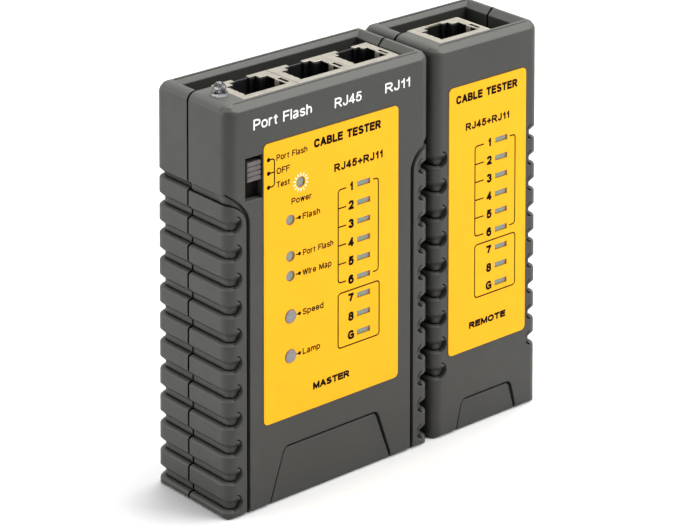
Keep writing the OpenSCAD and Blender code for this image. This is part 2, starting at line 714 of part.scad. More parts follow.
module battery_9v() color([0.2, 0.2, 0.22]) in_master() translate(battery_at) difference() {
  union() {
    along_x(0, 46.4) rounded_rect(0, 0, battery_d, 26.5, 2.4);
    on_terminal(46, stud_z) cylinder(r = 2.8, h = 2.8);
    on_terminal(46, socket_z) cylinder(r = 4.3, h = 2.6);
  }
  on_terminal(46.9, socket_z) cylinder(r = 2.95, h = 4);
}
module battery_snap_connector() color([0.08, 0.08, 0.08]) in_master() translate(battery_at) {
  translate([49.1, 0, 0.5]) along_x(0, 2.4) rounded_rect(2.5, 0, 15, 25.5, 2);
  difference() {
    on_terminal(47, stud_z) cylinder(r = 4.2, h = 2.6);
    on_terminal(46, stud_z) cylinder(r = 2.9, h = 2.95);
  }
  on_terminal(47.1, socket_z) cylinder(r = 2.8, h = 2.6);
}
// A lead leaves the connector forwards, runs along the front of the bay and up to the board
module lead(x_up, z_run, y_run) {
  radius = 0.6;
  z_up = 36.5;
  x_start = battery_at[0] + 50.3;
  path = [
    [x_start, battery_at[1] + 2.5, z_run],
    [x_start, y_run, z_run],
    [x_up, y_run, z_run],
    [x_up, y_run, z_up],
    [x_up, board_y, z_up]];
  for (k = [1 : 4]) {
    step = path[k] - path[k - 1];
    length = norm(step);
    translate(path[k - 1]) rotate([0, acos(step[2] / length), atan2(step[1], step[0])])
      cylinder(r = radius, h = length);
    if (k < 4) translate(path[k]) sphere(radius);
  }
}
module battery_lead_red() color("firebrick") in_master() lead(x_up = 28.4, z_run = 14, y_run = 4.2);
module battery_lead_black() color([0.06, 0.06, 0.06]) in_master()
  lead(x_up = 26, z_run = 17, y_run = 5.6);

master_front_shell();
master_rear_shell();
master_label();
master_case_screws();
master_circuit_board();
controller_chip();
crystal();
board_capacitors();
flash_jack_shield();
flash_jack_housing();
flash_jack_contacts();
network_jack_shield();
network_jack_housing();
network_jack_contacts();
phone_jack_shield();
phone_jack_housing();
phone_jack_contacts();
lamp_led();
master_line_leds();
master_mode_leds();
mode_switch_body();
mode_switch_knob();
speed_switch_body();
speed_button();
lamp_switch_body();
lamp_button();
battery_9v();
battery_snap_connector();
battery_lead_red();
battery_lead_black();
battery_door();
remote_front_shell();
remote_rear_shell();
remote_label();
remote_case_screws();
remote_circuit_board();
remote_resistors();
remote_jack_shield();
remote_jack_housing();
remote_jack_contacts();
remote_jack_insulator();
remote_line_leds();
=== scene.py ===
"""Looks for the network cable tester: moulded shells, printed label, indicators, sockets, lamp and battery."""
import bpy
import math
from mathutils import Matrix, Vector


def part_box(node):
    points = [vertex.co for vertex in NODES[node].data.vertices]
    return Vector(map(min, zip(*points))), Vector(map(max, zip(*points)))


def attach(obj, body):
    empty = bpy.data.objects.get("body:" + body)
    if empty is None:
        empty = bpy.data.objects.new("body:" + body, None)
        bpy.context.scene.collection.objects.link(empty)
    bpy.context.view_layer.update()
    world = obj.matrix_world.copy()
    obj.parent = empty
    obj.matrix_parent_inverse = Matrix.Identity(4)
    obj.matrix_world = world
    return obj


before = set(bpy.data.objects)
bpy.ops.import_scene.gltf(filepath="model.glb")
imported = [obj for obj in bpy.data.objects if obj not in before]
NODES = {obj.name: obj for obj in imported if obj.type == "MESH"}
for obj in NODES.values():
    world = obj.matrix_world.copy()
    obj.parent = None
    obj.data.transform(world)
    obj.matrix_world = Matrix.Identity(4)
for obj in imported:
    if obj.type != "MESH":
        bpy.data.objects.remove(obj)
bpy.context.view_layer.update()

MM = 0.001


# ---------------------------------------------------------------- places
LABEL_LO, LABEL_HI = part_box("master_label")
RLABEL_LO, RLABEL_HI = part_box("remote_label")
SHELL_LO, SHELL_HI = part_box("master_front_shell")
RSHELL_LO, RSHELL_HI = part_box("remote_front_shell")
FACE_Y = SHELL_LO.y            # front face of both cases
PRINT_Y = LABEL_LO.y           # front face of both labels
X0 = SHELL_LO.x                # left side of the master
INK = 0.012 * MM               # half thickness of a printed mark
SEAM = 0.58 * MM               # width of the open joint line round both cases


def at(x, z):
    """A place on the front, in mm from the master's left side and from the bottom."""
    return X0 + x * MM, z * MM


# ---------------------------------------------------------------- node helpers
class Mat:
    """A material being built: n(kind, ...) adds a node, to(a, b) joins two sockets."""

    def __init__(self, name):
        self.m = bpy.data.materials.new(name)
        self.m.use_nodes = True
        self.t = self.m.node_tree
        for x in list(self.t.nodes):
            self.t.nodes.remove(x)
        self.out = self.t.nodes.new("ShaderNodeOutputMaterial")
        self.co = self.t.nodes.new("ShaderNodeTexCoord").outputs["Object"]

    def n(self, kind, **values):
        x = self.t.nodes.new("ShaderNode" + kind)
        for k, v in values.items():
            setattr(x, k, v)
        return x

    def to(self, a, b):
        self.t.links.new(a, b)

    def put(self, socket, v):
        if isinstance(v, bpy.types.NodeSocket):
            self.to(v, socket)
        elif isinstance(v, (tuple, list)) and len(v) == 3 and socket.type == "RGBA":
            socket.default_value = (*v, 1)
        else:
            socket.default_value = v

    def noise(self, scale, detail=3.0, rough=0.55, stretch=None, distort=0.0):
        x = self.n("TexNoise")
        x.inputs["Scale"].default_value = scale
        x.inputs["Detail"].default_value = detail
        x.inputs["Roughness"].default_value = rough
        x.inputs["Distortion"].default_value = distort
        self.to(self.scaled(stretch) if stretch else self.co, x.inputs["Vector"])
        return x.outputs["Fac"]

    def voronoi(self, scale, feature="F1"):
        x = self.n("TexVoronoi", feature=feature)
        x.inputs["Scale"].default_value = scale
        self.to(self.co, x.inputs["Vector"])
        return x.outputs["Distance"]

    def scaled(self, s):
        x = self.n("Mapping")
        x.inputs["Scale"].default_value = s
        self.to(self.co, x.inputs["Vector"])
        return x.outputs["Vector"]

    def ramp(self, fac, *stops, constant=False):
        x = self.n("ValToRGB")
        e = x.color_ramp.elements
        while len(e) < len(stops):
            e.new(0.5)
        for k, (p, c) in zip(e, stops):
            k.position = p
            k.color = (*c, 1) if isinstance(c, (tuple, list)) else (c, c, c, 1)
        if constant:
            x.color_ramp.interpolation = "CONSTANT"
        self.put(x.inputs["Fac"], fac)
        return x.outputs["Color"]

    def math(self, op, a, b=0.0, c=0.0, clamp=False):
        x = self.n("Math", operation=op, use_clamp=clamp)
        self.put(x.inputs[0], a)
        self.put(x.inputs[1], b)
        self.put(x.inputs[2], c)
        return x.outputs[0]

    def span(self, v, lo, hi, a=0.0, b=1.0):
        x = self.n("MapRange")
        for k, q in zip(range(5), (v, lo, hi, a, b)):
            self.put(x.inputs[k], q)
        return x.outputs[0]

    def mix(self, fac, a, b, mode="MIX"):
        x = self.n("Mix", data_type="RGBA", blend_type=mode)
        self.put(x.inputs[0], fac)
        self.put(x.inputs[6], a)
        self.put(x.inputs[7], b)
        return x.outputs[2]

    def xyz(self):
        x = self.n("SeparateXYZ")
        self.to(self.co, x.inputs[0])
        return x.outputs

    def bump(self, height, strength, distance, normal=None):
        x = self.n("Bump")
        x.inputs["Strength"].default_value = strength
        x.inputs["Distance"].default_value = distance
        self.put(x.inputs["Height"], height)
        if normal is not None:
            self.to(normal, x.inputs["Normal"])
        return x.outputs["Normal"]

    def edges(self, radius, lo=0.02, hi=0.35):
        """1 on outside and inside edges, 0 on flats: how far the rounded normal turns from the true one."""
        b = self.n("Bevel", samples=4)
        b.inputs["Radius"].default_value = radius
        g = self.n("NewGeometry")
        d = self.n("VectorMath", operation="DOT_PRODUCT")
        self.soft = b.outputs["Normal"]
        self.to(b.outputs["Normal"], d.inputs[0])
        self.to(g.outputs["Normal"], d.inputs[1])
        return self.span(self.math("SUBTRACT", 1.0, d.outputs["Value"]), lo, hi)

    def crevice(self, distance, lo, hi):
        """1 deep in slots and inside corners, 0 on open faces."""
        x = self.n("AmbientOcclusion", samples=8)
        x.inputs["Distance"].default_value = distance
        return self.span(x.outputs["AO"], lo, hi, 1.0, 0.0)

    def surface(self, colour, rough, normal=None, **extra):
        p = self.n("BsdfPrincipled")
        self.put(p.inputs["Base Color"], colour)
        self.put(p.inputs["Roughness"], rough)
        if normal is not None:
            self.to(normal, p.inputs["Normal"])
        for k, v in extra.items():
            self.put(p.inputs[k.replace("_", " ")], v)
        self.to(p.outputs["BSDF"], self.out.inputs["Surface"])
        return p


def rgb(r, g, b):
    """Linear colour of an 8-bit display colour."""
    f = lambda v: v / 12.92 if v <= 0.04045 else ((v + 0.055) / 1.055) ** 2.4
    return tuple(f(v / 255) for v in (r, g, b))


# ---------------------------------------------------------------- materials
def moulded(name, tone, rough=(0.40, 0.52), grain=3400, depth=0.35, wear_and_highlight=0.50, crevice_shade=0.85, shade_behind=None, shut=None, pale_wash=0.0):
    """Moulded plastic: fine spark-eroded grain, faint flow mottling, handling sheen, edges rubbed lighter with a
    painted highlight on them, slots and inside corners darkened with painted shade. Past a given depth (y) the part is
    painted dark all over as shade;
    shut is the pair of depths between which an open joint lies in its own shadow, painted dark; faces that point up get
    painted light from above."""
    m = Mat(name)
    fine = m.noise(grain, 2.0, 0.6)
    pits = m.voronoi(grain * 0.55)
    flow = m.noise(46, 4.0, 0.6, distort=0.6)
    rub = m.noise(210, 3.0, 0.6)
    dark, light = tuple(c * 0.90 for c in tone), tuple(c * 1.10 for c in tone)
    base = m.ramp(flow, (0.30, dark), (0.72, light))
    base = m.mix(m.span(fine, 0.35, 0.65, 0.0, 0.30), base, tuple(c * 0.78 for c in tone))
    # rubbed edges: lighter from wear, and also a painted highlight standing in for the lamps glinting on rounded edges
    edge = m.math("MULTIPLY", m.edges(0.45 * MM), m.span(rub, 0.40, 0.62, 0.35, 1.0))
    worn_highlight_tone = tuple(min(1.0, c * 2.1 + 0.02) for c in tone)
    base = m.mix(m.math("MULTIPLY", edge, wear_and_highlight), base, worn_highlight_tone)
    # painted light from above: faces that point up are paled toward a lit tone, a little unevenly
    if pale_wash:
        g = m.n("SeparateXYZ")
        m.to(m.soft, g.inputs[0])
        up = m.math("MULTIPLY", m.span(g.outputs[2], 0.15, 0.70), m.span(rub, 0.30, 0.60, 0.85, 1.0))
        base = m.mix(m.math("MULTIPLY", up, pale_wash), base, tuple(c * 2.3 + 0.006 for c in tone))
    # painted shade: slots, crevices and inside corners are darkened where shade falls, by ambient occlusion
    low = m.math("MULTIPLY", m.crevice(0.42 * MM, 0.28, 0.60), crevice_shade)
    # painted shade: past the given depth the whole part is painted dark as if in shadow
    if shade_behind is not None:
        low = m.math("MAXIMUM", low, m.span(m.xyz()[1], shade_behind, shade_behind + 0.05 * MM))
    if shut is not None:
        y = m.xyz()[1]
        low = m.math("MAXIMUM", low, m.math("MULTIPLY", m.math("GREATER_THAN", y, shut[0]), m.math("LESS_THAN", y, shut[1])))
    # all of the above is painted shade: colour drops to a tenth of the tone and the reflection is damped there
    base = m.mix(low, base, tuple(c * 0.10 for c in tone))
    r = m.span(rub, 0.30, 0.70, rough[0], rough[1])
    r = m.math("SUBTRACT", r, m.math("MULTIPLY", edge, 0.10))
    tex = m.math("ADD", m.math("MULTIPLY", fine, 0.7), m.math("MULTIPLY", pits, 0.5))
    m.surface(base, r, m.bump(tex, depth, 0.03 * MM, m.soft), Specular_IOR_Level=m.span(low, 0.0, 1.0, 0.30, 0.02))
    return m.m


def film(name, tone):
    """Printed label film: satin laminate with very fine grain, faint ink unevenness and a darker die-cut edge."""
    m = Mat(name)
    grain = m.noise(5200, 2.0, 0.5)
    ink = m.noise(120, 4.0, 0.6)
    wave = m.noise(34, 1.0, 0.4)
    base = m.ramp(ink, (0.30, tuple(c * 0.965 for c in tone)), (0.70, tuple(min(1, c * 1.02) for c in tone)))
    edge = m.edges(0.30 * MM, 0.03, 0.30)
    base = m.mix(m.math("MULTIPLY", edge, 0.35), base, tuple(c * 0.62 for c in tone))
    r = m.span(grain, 0.3, 0.7, 0.36, 0.46)
    n = m.bump(wave, 0.10, 0.05 * MM)
    n = m.bump(grain, 0.10, 0.01 * MM, n)
    m.surface(base, r, n, Specular_IOR_Level=0.16, Coat_Weight=0.03, Coat_Roughness=0.30)
    return m.m


def ink(name, tone, rough=0.42, shine=0.18):
    """Screen-printed ink with pinholes and an uneven sheen."""
    m = Mat(name)
    a = m.noise(3000, 3.0, 0.65)
    b = m.noise(420, 2.0, 0.5)
    base = m.ramp(a, (0.30, tuple(min(1, c * 1.25 + 0.004) for c in tone)), (0.60, tone))
    base = m.mix(m.span(b, 0.40, 0.70, 0.0, 0.25), base, tuple(c * 0.88 for c in tone))
    m.surface(base, m.span(b, 0.3, 0.7, rough - 0.06, rough + 0.08), m.bump(a, 0.12, 0.006 * MM), Specular_IOR_Level=shine)
    return m.m


def plated(name, tone, rough=0.30, brushed=(1, 1, 12), tarnish=0.25):
    """Rolled, plated metal: fine rolling lines, blotchy plating, duller patches."""
    m = Mat(name)
    lines = m.noise(900, 3.0, 0.6, stretch=brushed)
    blot = m.noise(260, 4.0, 0.6, distort=0.4)
    dull = tuple(c * 0.70 for c in tone)
    base = m.ramp(blot, (0.32, dull), (0.60, tone))
    base = m.mix(m.span(lines, 0.35, 0.65, 0.0, tarnish), base, tuple(c * 0.62 for c in tone))
    r = m.math("ADD", m.span(blot, 0.3, 0.7, rough + 0.10, rough - 0.04), m.span(lines, 0.3, 0.7, 0.0, 0.08))
    n = m.bump(lines, 0.16, 0.02 * MM)
    n = m.bump(m.noise(2400, 2.0), 0.10, 0.008 * MM, n)
    m.surface(base, r, n, Metallic=1.0)
    return m.m


def indicator(name, centres, reach, pitch=None, count=None, body=(138, 129, 127), core=(112, 145, 116)):
    """Indicator resin: milky grey lens with the chip's greenish patch showing through the middle of each."""
    m = Mat(name)
    x, y, z = m.xyz()
    found = None
    for cx, cz in centres:
        dx = m.math("DIVIDE", m.math("SUBTRACT", x, cx), reach[0])
        if pitch:
            q = m.math("DIVIDE", m.math("SUBTRACT", cz, z), pitch)
            near = m.math("SUBTRACT", q, m.math("ROUND", q))
            dz = m.math("DIVIDE", m.math("MULTIPLY", near, pitch), reach[1])
        else:
            dz = m.math("DIVIDE", m.math("SUBTRACT", z, cz), reach[1])
        r = m.math("SQRT", m.math("ADD", m.math("MULTIPLY", dx, dx), m.math("MULTIPLY", dz, dz)))
        found = r if found is None else m.math("MINIMUM", found, r)
    haze = m.noise(1500, 3.0, 0.6)
    r = m.math("ADD", found, m.span(haze, 0.3, 0.7, -0.22, 0.22))
    glow = m.span(r, 0.15, 1.25, 1.0, 0.0)
    base = m.ramp(m.noise(700, 3.0), (0.30, tuple(c * 0.90 for c in rgb(*body))), (0.70, tuple(c * 1.06 for c in rgb(*body))))
    base = m.mix(glow, base, rgb(*core))
    n = m.bump(m.noise(2600, 2.0), 0.12, 0.01 * MM)
    m.surface(base, m.span(haze, 0.3, 0.7, 0.20, 0.32), n, Subsurface_Weight=0.15, Subsurface_Radius=(0.4 * MM,) * 3,
              Subsurface_Scale=1.0, Specular_IOR_Level=0.5)
    return m.m


def clear(name):
    """Clear cast epoxy: slight cool tint, faint swirl in the surface, a few fine bubbles of haze."""
    m = Mat(name)
    sw = m.noise(420, 2.0, 0.5, distort=0.8)
    speck = m.voronoi(2600)
    tint = m.ramp(sw, (0.30, (0.46, 0.47, 0.47)), (0.70, (0.60, 0.60, 0.60)))
    r = m.span(speck, 0.0, 0.25, 0.16, 0.035)
    p = m.surface(tint, r, m.bump(sw, 0.10, 0.02 * MM), Transmission_Weight=1.0, IOR=1.53)
    return m.m


def laminate(name):
    """Glass-epoxy board: green solder mask over woven cloth, with faint track shadows."""
    m = Mat(name)
    weave = m.math("MULTIPLY", m.math("SINE", m.math("MULTIPLY", m.xyz()[0], 9000.0)), m.math("SINE", m.math("MULTIPLY", m.xyz()[2], 9000.0)))
    tracks = m.voronoi(330, "DISTANCE_TO_EDGE")
    t = m.ramp(tracks, (0.03, (0.010, 0.075, 0.030)), (0.09, (0.006, 0.042, 0.018)))
    base = m.mix(m.span(weave, -1, 1, 0.0, 0.25), t, (0.015, 0.10, 0.045))
    m.surface(base, m.span(weave, -1, 1, 0.28, 0.40), m.bump(tracks, 0.25, 0.03 * MM), Coat_Weight=0.3, Coat_Roughness=0.15)
    return m.m


def jacket(name):
    """Printed battery wrap: copper-coloured shoulder band over a satin black body, split at a fixed height."""
    m = Mat(name)
    lo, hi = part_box("battery_9v")
    x = m.xyz()[0]
    split = lo.x + (hi.x - lo.x) * 0.72
    band = m.span(x, split - 0.05 * MM, split + 0.05 * MM)
    a = m.noise(300, 3.0)
    dark = m.ramp(a, (0.3, (0.010, 0.010, 0.011)), (0.7, (0.020, 0.020, 0.022)))
    copper = m.ramp(a, (0.3, (0.42, 0.19, 0.07)), (0.7, (0.60, 0.30, 0.12)))
    crease = m.noise(160, 3.0, 0.6, stretch=(6, 1, 1))
    m.surface(m.mix(band, dark, copper), m.span(a, 0.3, 0.7, 0.26, 0.38), m.bump(crease, 0.15, 0.05 * MM),
              Metallic=m.math("MULTIPLY", band, 0.85), Coat_Weight=0.4, Coat_Roughness=0.12)
    return m.m


def rubbery(name, tone, rough=0.45):
    """Extruded wire insulation or shrink sleeve: lengthwise die lines, soft sheen, a pale powdery film in the low
    spots.
    """
    m = Mat(name)
    die = m.noise(700, 2.0, 0.5, stretch=(1, 1, 9))
    pale_wash = m.noise(900, 4.0, 0.6)
    base = m.ramp(pale_wash, (0.30, tuple(c * 0.82 for c in tone)), (0.75, tuple(min(1, c * 1.12 + 0.004) for c in tone)))
    m.surface(base, m.span(die, 0.3, 0.7, rough - 0.06, rough + 0.06), m.bump(die, 0.2, 0.02 * MM), Specular_IOR_Level=0.45)
    return m.m


CASE = rgb(60, 60, 57)
REAR_LO, REAR_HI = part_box("master_rear_shell")
# the case carries painted shade in its open joint and slots, and painted light from above on up-facing faces
CASE_MAT = moulded("case_plastic_look", CASE, shut=(SHELL_HI.y - 0.03 * MM, SHELL_HI.y + SEAM), pale_wash=0.9)
# socket and package plastics also take the painted edge highlight and painted crevice shade of the moulded look
GLOSS_BLACK = moulded("socket_plastic_look", rgb(34, 32, 34), rough=(0.30, 0.42), grain=5200, depth=0.18, wear_and_highlight=0.25)
CHIP_MAT = moulded("package_plastic_look", rgb(38, 38, 40), rough=(0.5, 0.62), grain=6000, depth=0.3, wear_and_highlight=0.15)
# the knob's base plate, past 2.2 mm behind the front, is painted dark as shade inside its window
KNOB_MAT = moulded("knob_plastic_look", rgb(95, 89, 90), rough=(0.34, 0.46), grain=4200, depth=0.2, wear_and_highlight=0.35, crevice_shade=0.15, shade_behind=FACE_Y + 2.2 * MM)
BUTTON_MAT_TONE = (150, 139, 143)
LABEL_MAT = film("label_film_look", (0.925, 0.448, 0.002))
INK_MAT = ink("ink_dark_look", rgb(7, 5, 2), shine=0.03)
LINE_MAT = ink("ink_line_look", rgb(40, 30, 4), shine=0.03)
WHITE_MAT = ink("ink_white_look", (0.78, 0.78, 0.76))
RAY_MAT = ink("ink_ray_look", (0.90, 0.80, 0.62))
SHIELD_MAT = plated("shield_tinplate_look", (0.54, 0.51, 0.435), rough=0.40, brushed=(8, 1, 1))
SCREW_MAT = plated("screw_zinc_look", (0.62, 0.63, 0.66), rough=0.28, brushed=(10, 10, 1))
STEEL_MAT = plated("switch_steel_look", (0.60, 0.60, 0.62), rough=0.34, brushed=(1, 1, 9))
GOLD_MAT = plated("contact_gold_look", (0.86, 0.60, 0.24), rough=0.22, brushed=(1, 9, 9), tarnish=0.15)
BOARD_MAT = laminate("board_laminate_look")
CLEAR_MAT = clear("clear_epoxy_look")
JACKET_MAT = jacket("battery_wrap_look")
RED_MAT = rubbery("red_insulation_look", rgb(170, 24, 20))
BLACK_MAT = rubbery("black_insulation_look", rgb(30, 30, 31))
SLEEVE_MAT = rubbery("capacitor_sleeve_look", rgb(34, 42, 78), rough=0.36)
WRAP_MAT = film("insulator_film_look", rgb(206, 200, 178))

m_lo, m_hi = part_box("master_line_leds")
r_lo, r_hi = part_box("remote_line_leds")
PITCH = 4.5 * MM
FIRST_Z = m_hi.z - 0.95 * MM
LINE_MAT_M = indicator("line_indicator_look", [((m_lo.x + m_hi.x) / 2 - 0.35 * MM, FIRST_Z)], (1.25 * MM, 0.95 * MM), PITCH)
LINE_MAT_R = indicator("remote_indicator_look", [((r_lo.x + r_hi.x) / 2 - 0.35 * MM, FIRST_Z)], (1.25 * MM, 0.95 * MM), PITCH)
ROUND = [(21.0, 74.9), (17.96, 66.6), (17.96, 57.95), (17.96, 53.25)]
ROUND_MAT = indicator("round_indicator_look", [at(*p) for p in ROUND], (0.75 * MM, 0.75 * MM))
BUTTONS = [(18.0, 43.65), (18.0, 34.15)]
BUTTON_MAT = indicator("button_plastic_look", [at(*p) for p in BUTTONS], (0.8 * MM, 0.8 * MM), body=(132, 122, 126), core=(112, 140, 122))


# ---------------------------------------------------------------- CAD nodes: finish and softened edges
def soften(node, width, segments=2, angle=35.0, flat=1.0, tidy=True):
    """Breaks the sharp edges of a CAD node by width mm, with modifiers only."""
    o = NODES[node]
    w = o.modifiers.new("weld", "WELD")
    w.merge_threshold = 0.0005 * MM
    if tidy:
        d = o.modifiers.new("flats", "DECIMATE")
        d.decimate_type = "DISSOLVE"
        d.angle_limit = math.radians(flat)
    if width:
        b = o.modifiers.new("edges", "BEVEL")
        b.width = width * MM
        b.segments = segments
        b.limit_method = "ANGLE"
        b.angle_limit = math.radians(angle)
        b.use_clamp_overlap = False
    n = o.modifiers.new("normals", "WEIGHTED_NORMAL")
    n.keep_sharp = False
    n.weight = 80
    for p in o.data.polygons:
        p.use_smooth = True


def finish(node, material, slot=None):
    o = NODES[node]
    o.data.materials.clear()
    o.data.materials.append(material)


for n in ("master_front_shell", "master_rear_shell", "remote_front_shell", "remote_rear_shell"):
    finish(n, CASE_MAT)
finish("battery_door", CASE_MAT)
for n in ("master_label", "remote_label"):
    finish(n, LABEL_MAT)
    soften(n, 0.05, 1)
for n in ("master_case_screws", "remote_case_screws"):
    finish(n, SCREW_MAT)
    soften(n, 0.12)
for n in ("master_circuit_board", "remote_circuit_board"):
    finish(n, BOARD_MAT)
    soften(n, 0.04, 1)
for j in ("flash", "network", "phone", "remote"):
    finish(j + "_jack_shield", SHIELD_MAT)
    soften(j + "_jack_shield", 0.05)
    finish(j + "_jack_housing", GLOSS_BLACK)
    finish(j + "_jack_contacts", GOLD_MAT)
    soften(j + "_jack_contacts", 0.05)
finish("controller_chip", CHIP_MAT)
soften("controller_chip", 0.06, 1)
finish("remote_resistors", CHIP_MAT)
soften("remote_resistors", 0.06, 1)
finish("crystal", STEEL_MAT)
soften("crystal", 0.075)
finish("board_capacitors", SLEEVE_MAT)
soften("board_capacitors", 0.075)
finish("lamp_led", CLEAR_MAT)
finish("master_line_leds", LINE_MAT_M)
soften("master_line_leds", 0.06)
finish("remote_line_leds", LINE_MAT_R)
soften("remote_line_leds", 0.06)
finish("master_mode_leds", ROUND_MAT)
soften("master_mode_leds", 0.08)
finish("mode_switch_body", STEEL_MAT)
soften("mode_switch_body", 0.12)
finish("mode_switch_knob", KNOB_MAT)
soften("mode_switch_knob", 0.08)
for n in ("speed_switch_body", "lamp_switch_body"):
    finish(n, CHIP_MAT)
    soften(n, 0.1)
for n in ("speed_button", "lamp_button"):
    finish(n, BUTTON_MAT)
    soften(n, 0.15)
finish("battery_9v", JACKET_MAT)
soften("battery_9v", 0.1)
finish("battery_snap_connector", BLACK_MAT)
soften("battery_snap_connector", 0.1)
finish("battery_lead_red", RED_MAT)
finish("battery_lead_black", BLACK_MAT)
finish("remote_jack_insulator", WRAP_MAT)
soften("remote_jack_insulator", 0.04, 1)


# ---------------------------------------------------------------- printed marks
def piece(name, verts, faces, material, body, smooth=False):
    me = bpy.data.meshes.new(name)
    me.from_pydata(verts, [], faces)
    me.update()
    me.materials.append(material)
    for p in me.polygons:
        p.use_smooth = smooth
    o = bpy.data.objects.new(name, me)
    bpy.context.scene.collection.objects.link(o)
    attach(o, body)
    return o


def slab(outline, y, half=INK):
    """A thin closed solid on the front: outline is a loop of (x, z) in metres, run anticlockwise seen from the front."""
    n = len(outline)
    v = [(x, y - half, z) for x, z in outline] + [(x, y + half, z) for x, z in outline]
    f = [tuple(range(n)), tuple(range(2 * n - 1, n - 1, -1))]
    f += [(i, i + n, (i + 1) % n + n, (i + 1) % n) for i in range(n)]
    return v, f


def ribbon(path, width, closed=False):
    """Left and right sides of a line of the given width along path, mitred at its corners."""
    n = len(path)
    left, right = [], []
    for i in range(n):
        a = path[i - 1] if i or closed else None
        b = path[(i + 1) % n] if i < n - 1 or closed else None
        p = Vector(path[i])
        d1 = (p - Vector(a)).normalized() if a is not None else None
        d2 = (Vector(b) - p).normalized() if b is not None else None
        d1 = d1 or d2
        d2 = d2 or d1
        t = (d1 + d2).normalized()
        nrm = Vector((-t.y, t.x))
        k = width / 2 / max(0.35, nrm.dot(Vector((-d1.y, d1.x))))
        left.append(tuple(p + nrm * k))
        right.append(tuple(p - nrm * k))
    return left, right


def line(path, width, y, closed=False, half=INK):
    """A closed solid line along path, as (verts, faces)."""
    l, r = ribbon(path, width, closed)
    n = len(path)
    v = [(x, y - half, z) for x, z in l] + [(x, y - half, z) for x, z in r] + [(x, y + half, z) for x, z in l] + [(x, y + half, z) for x, z in r]
    f = []
    for i in range(n if closed else n - 1):
        j = (i + 1) % n
        f.append((i, i + n, j + n, j))
        f.append((i + 2 * n, j + 2 * n, j + 3 * n, i + 3 * n))
        f.append((i, j, j + 2 * n, i + 2 * n))
        f.append((i + n, i + 3 * n, j + 3 * n, j + n))
    if not closed:
        f.append((0, 2 * n, 3 * n, n))
        e = n - 1
        f.append((e, e + n, e + 3 * n, e + 2 * n))
    return v, f


def join(parts):
    v, f = [], []
    for pv, pf in parts:
        k = len(v)
        v += pv
        f += [tuple(i + k for i in q) for q in pf]
    return v, f


def disc(x, z, r, n=28):
    return [(x + r * math.cos(2 * math.pi * i / n), z + r * math.sin(2 * math.pi * i / n)) for i in range(n)]


def rounded(points, r, steps=5):
    """points with each inner corner cut by an arc of radius r; ends stay."""
    out = [points[0]]
    for i in range(1, len(points) - 1):
        a, b, c = Vector(points[i - 1]), Vector(points[i]), Vector(points[i + 1])
        u, w = (a - b).normalized(), (c - b).normalized()
        for k in range(steps + 1):
            t = k / steps
            p = b + u * r * (1 - t) ** 2 + w * r * t ** 2
            out.append(tuple(p))
    out.append(points[-1])
    return out


def rounded_loop(x0, z0, x1, z1, r, steps=6):
    out = []
    for cx, cz, a in ((x1 - r, z1 - r, 0), (x0 + r, z1 - r, 90), (x0 + r, z0 + r, 180), (x1 - r, z0 + r, 270)):
        for k in range(steps + 1):
            q = math.radians(a + 90 * k / steps)
            out.append((cx + r * math.cos(q), cz + r * math.sin(q)))
    return out


